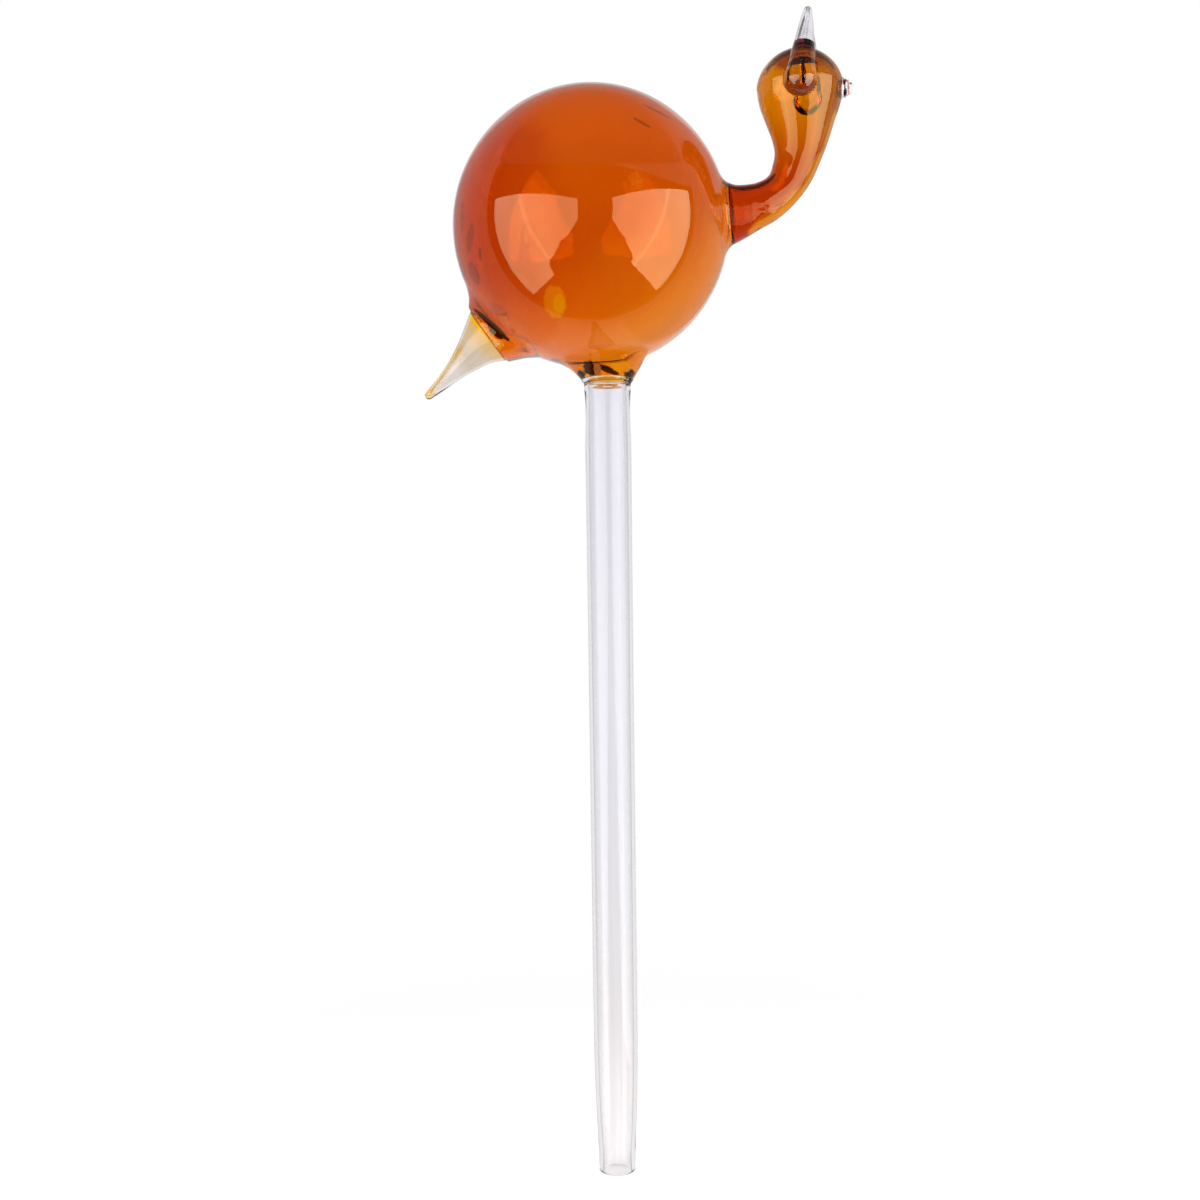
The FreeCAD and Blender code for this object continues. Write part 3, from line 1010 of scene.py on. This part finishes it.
def light_path(graph, extra_depth):
    """Sockets for camera rays, rays that only went through glass, mirror or glass rays, and the count of
    skins passed. A lamp or the world reads a ray depth of one more than a surface."""
    path = graph.add("ShaderNodeLightPath").outputs
    bent = graph.sum("SUBTRACT", path["Ray Depth"], path["Transmission Depth"])
    mirrored = graph.sum("GREATER_THAN", bent, 0.5 + extra_depth)
    through = graph.times(path["Is Transmission Ray"], graph.sum("SUBTRACT", 1.0, mirrored))
    glossy = graph.sum("MAXIMUM", path["Is Glossy Ray"], path["Is Transmission Ray"])
    return path["Is Camera Ray"], through, glossy, path["Transmission Depth"]


# Levels of the world's light, 1 being white. In mirror rays: the surround and its roof, the backdrop
# behind the object, and the room as seen from inside the glass. Then: the light on matt surfaces, rays
# that go through the glass to above, below or the sides, and both kinds after many skins of glass.
surround_level, roof_level = 0.5, 0.16
backdrop_level = 0.88
inside_level, inside_roof_share = 0.95, 0.12
fill_level = 0.3
through_roof_level, through_side_share = 0.12, 0.6
deep_mirror_level, deep_level = 0.7, 0.85
deep_skins = 5.5

# Where those parts begin and end, on a unit direction's height, side and front
behind_edge = (0.0, -0.25)
roof_edge_before, roof_edge_behind = (0.58, 0.6), (0.66, 0.97)
backdrop_side_edge, backdrop_top_edge = (0.4, 0.3), (0.67, 0.61)
inside_side_edge, inside_top_edge = (0.85, 0.65), (0.5, 0.62)
through_roof_edge, through_side_edge = (0.6, 0.75), (-0.8, -0.45)

# Dark cloth on the camera's side, up to a height that falls off to the right, and the shares by which
# it changes when seen from inside the glass and after many skins
cloth_front_edge, cloth_top_edge = (-0.06, -0.03), (0.61, 0.59)
cloth_fall = 0.25
cloth_inside_share, cloth_deep_share = -0.45, -0.6


def mirrored_room(graph, height, front, side, inside, deep):
    """Level of the room in mirror rays."""
    behind = graph.step(front, *behind_edge)
    off_side = graph.sum("ABSOLUTE", side)
    roof = [graph.between(behind, one, two) for one, two in zip(roof_edge_before, roof_edge_behind)]
    surround = graph.step(height, *roof, surround_level, roof_level)
    near_axis = graph.times(graph.step(off_side, *backdrop_side_edge), behind)
    backdrop = graph.times(near_axis, graph.step(height, *backdrop_top_edge))
    surround = graph.between(backdrop, surround, backdrop_level)
    within = graph.times(behind, graph.step(off_side, *inside_side_edge))
    lit = graph.between(within, surround, inside_level)
    lit = graph.times(lit, graph.step(height, *inside_top_edge, 1.0, inside_roof_share))
    lit = graph.sum("MAXIMUM", lit, graph.times(deep, deep_mirror_level))
    surround = graph.between(inside, surround, lit)
    to_right = graph.sum("MAXIMUM", side, 0.0)
    cloth_height = graph.sum("MULTIPLY_ADD", graph.times(to_right, to_right), cloth_fall, height)
    dark = graph.times(graph.step(front, *cloth_front_edge), graph.step(cloth_height, *cloth_top_edge))
    for seen, share in ((inside, cloth_inside_share), (deep, cloth_deep_share)):
        dark = graph.times(dark, graph.sum("MULTIPLY_ADD", seen, share, 1.0))
    return graph.times(surround, graph.sum("SUBTRACT", 1.0, dark))


def make_world():
    world = bpy.data.worlds.new("studio")
    bpy.context.scene.world = world
    graph = Graph(world)
    camera_ray, through, glossy, skins = light_path(graph, 1)
    inside = graph.sum("GREATER_THAN", skins, 0.5)
    deep = graph.sum("GREATER_THAN", skins, deep_skins)
    direction = graph.out("ShaderNodeTexCoord", socket="Generated")
    height, front, side = [graph.along(direction, axis) for axis in (up_axis, toward_camera, camera_right)]
    mirror = mirrored_room(graph, height, front, side, inside, deep)
    clear = graph.step(graph.sum("ABSOLUTE", height), *through_roof_edge, 1.0, through_roof_level)
    clear = graph.times(clear, graph.step(front, *through_side_edge, 1.0, through_side_share))
    clear = graph.sum("MAXIMUM", clear, graph.times(deep, deep_level))
    level = graph.between(glossy, fill_level, mirror)
    level = graph.between(through, level, clear)
    level = graph.between(camera_ray, level, 1.0)
    light = graph.out("ShaderNodeBackground", {"Color": white, "Strength": level})
    graph.add("ShaderNodeOutputWorld", {"Surface": light})


# The softboxes: azimuth from the camera's direction in degrees, level, and then shares of the distance
# from the box's point nearest the globe: its inner and outer edge, top and bottom, its folded lower
# front corner (height at the front edge and width), and where its tube shows through the cloth.
box_distance = 330.0
softboxes = {
    "softbox_left": (-70.0, 4.0, (1.75, -0.17), (0.27, -1.17), (-0.28, 1.2), 0.33),
    "softbox_right": (80.0, 4.8, (-1.96, 0.06), (0.34, -1.0), (-0.31, 1.1), 0.42),
}
fold_slope = -0.455
fold_noise = (5.0, 4.0, 0.7)
fold_raggedness = 0.18
fold_softness = 0.01
tube_slope = -0.35

# Half width of the tube's sharp and soft glow, and the levels away from it and on it
tube_glow = (0.06, 0.0, 0.0, 0.35)
tube_soft_glow = (0.7, 0.0, 0.86, 1.08)


def make_softbox(name, azimuth, level, edges, heights, fold, line):
    """Upright softbox facing the globe."""
    turn = math.radians(azimuth)
    out = math.cos(turn) * toward_camera + math.sin(turn) * camera_right
    side = -math.sin(turn) * toward_camera + math.cos(turn) * camera_right
    nearest = globe_centre + box_distance * out
    middle = nearest + box_distance * (side * sum(edges) + upwards * sum(heights)) / 2
    lamp = bpy.data.lights.new(name, "AREA")
    lamp.shape = "RECTANGLE"
    lamp.size = abs(edges[1] - edges[0]) * box_distance * MM
    lamp.size_y = (heights[0] - heights[1]) * box_distance * MM
    lamp.energy = level * math.pi * lamp.size * lamp.size_y
    box = in_scene(name, lamp)
    set_place(box, np.cross(upwards, out), upwards, out, middle)
    box.visible_camera = False

    graph = Graph(lamp)
    spot = graph.out("ShaderNodeNewGeometry", socket="Position")
    spot = graph.vector("SUBTRACT", {0: spot, 1: tuple(nearest * MM)})
    spot = graph.vector("SCALE", {0: spot, "Scale": 1 / (box_distance * MM)})
    forwards = graph.along(spot, side * math.copysign(1.0, edges[0]))
    height = graph.along(spot, up_axis)
    ragged = graph.wander(graph.noise(spot, *fold_noise), fold_raggedness)
    fold_height, fold_width = fold
    from_edge = graph.sum("SUBTRACT", abs(edges[0]), forwards)
    corner = graph.sum("MULTIPLY_ADD", from_edge, fold_slope, fold_height)
    above = graph.sum("ADD", graph.sum("SUBTRACT", height, corner), ragged)
    lit = graph.sum("MAXIMUM", graph.step(above, -fold_softness, fold_softness),
                    graph.step(from_edge, fold_width - fold_softness, fold_width + fold_softness))
    across = graph.sum("SUBTRACT", forwards, graph.sum("MULTIPLY_ADD", height, tube_slope, line))
    across = graph.sum("ABSOLUTE", across)
    glow = graph.sum("ADD", graph.step(across, *tube_glow), graph.step(across, *tube_soft_glow))
    light = graph.out("ShaderNodeEmission", {"Color": white, "Strength": graph.times(lit, glow)})
    graph.add("ShaderNodeOutputLight", {"Surface": light})


# Pale floor under the stem's mouth, which fades to the white ground away from the object
floor_reach = 6000.0
floor_fade = (60.0, 220.0)
floor_grey = (0.8, 0.8, 0.8)
floor_lift = 0.45


def make_floor():
    low = -stem_length
    corners = [(x * floor_reach, y * floor_reach, low) for x, y in ((-1, -1), (1, -1), (1, 1), (-1, 1))]
    floor = piece("floor", corners, [(0, 1, 2, 3)])
    material = bpy.data.materials.new("pale_floor")
    graph = Graph(material)
    camera_ray, through, glossy, _ = light_path(graph, 0)
    away = graph.vector("DISTANCE", {0: graph.place(), 1: (0.0, 0.0, low)}, "Value")
    matt = graph.out("ShaderNodeBsdfDiffuse", {"Color": floor_grey})
    far = graph.step(away, *floor_fade)
    seen = graph.sum("MAXIMUM", camera_ray, through)
    lift = graph.out("ShaderNodeEmission", {"Color": white, "Strength": graph.times(seen, floor_lift)})
    plain = graph.out("ShaderNodeEmission", {"Color": white, "Strength": 1.0})
    near = graph.out("ShaderNodeAddShader", {0: matt, 1: lift})
    ground = graph.out("ShaderNodeMixShader", {0: graph.times(far, seen), 1: near, 2: plain})
    unseen = graph.out("ShaderNodeBsdfTransparent")
    reflected = graph.times(glossy, graph.sum("SUBTRACT", 1.0, through))
    whole = graph.out("ShaderNodeMixShader", {0: reflected, 1: ground, 2: unseen})
    graph.add("ShaderNodeOutputMaterial", {"Surface": whole})
    floor.data.materials.append(material)


# Assembly

glass_index = 1.5
amber_mirroring = np.array([0.8, 0.8, 0.42])
stem_mirroring = (0.25, 0.25, 0.27)
tail_mirroring = (0.25, 0.24, 0.22)


def mirroring_glass(name, maker, mirroring):
    """Glass whose mirroring is held back by a tint."""
    return glass(name, maker, IOR=glass_index, Transmission_Weight=1.0, Specular_Tint=mirroring)


amber = mirroring_glass("amber_blown", amber_parts, amber_mirroring)
amber_head = mirroring_glass("amber_drawn", amber_head_parts, amber_mirroring)
amber_neck = [mirroring_glass("amber_neck_%d" % number, amber_head_parts, amber_mirroring * share)
              for number, (_, share) in enumerate(neck_mirroring, 1)]
amber_inside = mirroring_glass("amber_inside", amber_inside_parts, amber_mirroring)
amber_contact = glass("amber_contact", amber_head_parts, IOR=1.0, Transmission_Weight=1.0)
contact = glass("fused_contact", contact_parts, IOR=1.0, Transmission_Weight=1.0)
clear = glass("clear_drop", clear_parts, IOR=glass_index, Transmission_Weight=1.0)
bead = glass("clear_beaded", bead_parts, IOR=glass_index, Transmission_Weight=0.5)
tube = mirroring_glass("clear_drawn", stem_parts, stem_mirroring)
straw = mirroring_glass("straw_milky", straw_parts, tail_mirroring)

drops = [make_horn(1), make_horn(-1), make_nose()]
glasses = [
    (make_globe(), "globe", "amber_glass", [amber, amber_inside, contact]),
    (make_neck_and_head(drops[:2]), "neck_and_head", "amber_glass",
     [amber_head, amber_inside, contact, amber_contact] + amber_neck),
    (drops[0], "left_horn", "clear_glass", [clear, contact]),
    (drops[1], "right_horn", "clear_glass", [clear, contact]),
    (drops[2], "nose_bead", "clear_glass", [bead, contact]),
    (make_tail(), "tail", "straw_glass", [straw, contact]),
    (make_stem(), "stem", "clear_tube", [tube, contact]),
]
for thing, node, slot, materials in glasses:
    for material in materials:
        thing.data.materials.append(material)
    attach(thing, "root")
    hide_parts(node)

make_camera()
make_world()
for name, settings in softboxes.items():
    make_softbox(name, *settings)
make_floor()

bpy.context.scene.view_settings.view_transform = "Standard"
